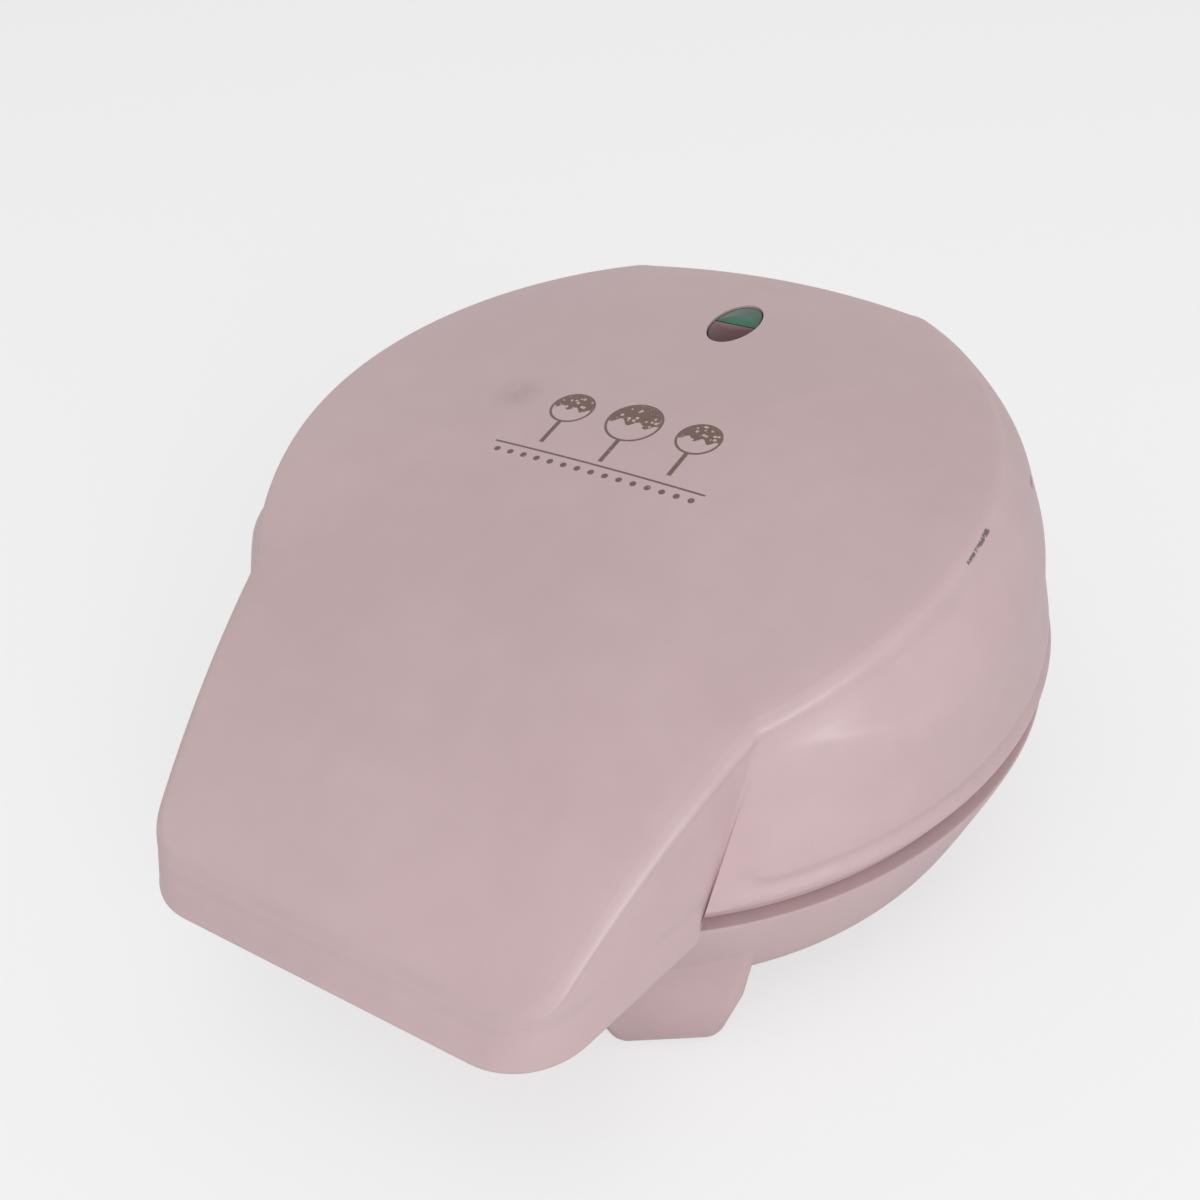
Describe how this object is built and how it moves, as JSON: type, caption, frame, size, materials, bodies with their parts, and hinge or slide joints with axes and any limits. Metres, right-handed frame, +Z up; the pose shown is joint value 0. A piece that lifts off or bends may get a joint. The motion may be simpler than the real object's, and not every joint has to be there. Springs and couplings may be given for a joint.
{
  "type": "cake pop maker",
  "caption": "Round countertop cooker with a hinged lid and a wide front grip; two cast plates with half-ball cups bake cake balls between them.",
  "frame": {"origin": "centre of the footprint, on the surface that it stands on", "axes": "+Z up; -Y towards the user, where the grip is; +Y towards the hinge; +X to the right seen from the front"},
  "size_m": [0.2096, 0.243, 0.1192],
  "materials": {
    "base_frame": "satin",
    "base_screw_1": "satin",
    "base_screw_2": "satin",
    "base_screw_3": "satin",
    "base_shell": "gloss",
    "base_wire_feed": "satin",
    "base_wire_link": "satin",
    "base_wire_live": "satin",
    "base_wire_switched": "satin",
    "cord_inlet": "matte",
    "grip_screw_1": "satin",
    "grip_screw_2": "satin",
    "hinge_pin_left": "satin",
    "hinge_pin_right": "satin",
    "lamp_green": "clear",
    "lamp_red": "clear",
    "lamp_screw_1": "satin",
    "lamp_screw_2": "satin",
    "lamp_tray": "matte",
    "lens_green": "gloss, translucent",
    "lens_red": "gloss, translucent",
    "lid_cover": "gloss",
    "lid_frame": "satin",
    "lid_frame_screw_1": "satin",
    "lid_frame_screw_2": "satin",
    "lid_wire_left": "satin",
    "lid_wire_right": "satin",
    "lower_heat_shield": "bright",
    "lower_heater": "dull",
    "lower_plate": "non-stick coating, satin",
    "lower_shield_screw_1": "satin",
    "lower_shield_screw_2": "satin",
    "lower_shield_screw_3": "satin",
    "rubber_foot_1": "matte",
    "rubber_foot_2": "matte",
    "rubber_foot_3": "matte",
    "rubber_foot_4": "matte",
    "terminal_block": "matte",
    "thermal_fuse": "satin",
    "thermostat": "matte",
    "upper_heat_shield": "bright",
    "upper_heater": "dull",
    "upper_plate": "non-stick coating, satin",
    "upper_shield_screw_1": "satin",
    "upper_shield_screw_2": "satin",
    "upper_shield_screw_3": "satin"
  },
  "bodies": {
    "base": {"base_frame": "base_frame", "base_screw_1": "base_screw_1", "base_screw_2": "base_screw_2", "base_screw_3": "base_screw_3", "base_shell": "base_shell", "base_wire_feed": "base_wire_feed", "base_wire_link": "base_wire_link", "base_wire_live": "base_wire_live", "base_wire_switched": "base_wire_switched", "cord_inlet": "cord_inlet", "hinge_pin_left": "hinge_pin_left", "hinge_pin_right": "hinge_pin_right", "lower_heat_shield": "lower_heat_shield", "lower_heater": "lower_heater", "lower_plate": "lower_plate", "lower_shield_screw_1": "lower_shield_screw_1", "lower_shield_screw_2": "lower_shield_screw_2", "lower_shield_screw_3": "lower_shield_screw_3", "rubber_foot_1": "rubber_foot_1", "rubber_foot_2": "rubber_foot_2", "rubber_foot_3": "rubber_foot_3", "rubber_foot_4": "rubber_foot_4", "terminal_block": "terminal_block", "thermal_fuse": "thermal_fuse", "thermostat": "thermostat"},
    "lid": {"grip_screw_1": "grip_screw_1", "grip_screw_2": "grip_screw_2", "lamp_green": "lamp_green", "lamp_red": "lamp_red", "lamp_screw_1": "lamp_screw_1", "lamp_screw_2": "lamp_screw_2", "lamp_tray": "lamp_tray", "lens_green": "lens_green", "lens_red": "lens_red", "lid_cover": "lid_cover", "lid_frame": "lid_frame", "lid_frame_screw_1": "lid_frame_screw_1", "lid_frame_screw_2": "lid_frame_screw_2", "lid_wire_left": "lid_wire_left", "lid_wire_right": "lid_wire_right", "upper_heat_shield": "upper_heat_shield", "upper_heater": "upper_heater", "upper_plate": "upper_plate", "upper_shield_screw_1": "upper_shield_screw_1", "upper_shield_screw_2": "upper_shield_screw_2", "upper_shield_screw_3": "upper_shield_screw_3"}
  },
  "joints": [
    {"name": "lid_hinge", "type": "hinge", "parent": "base", "child": "lid", "pos_m": [0, 0.1112, 0.064], "axis": [-1, 0, 0], "range_deg": [0, 100]}
  ]
}
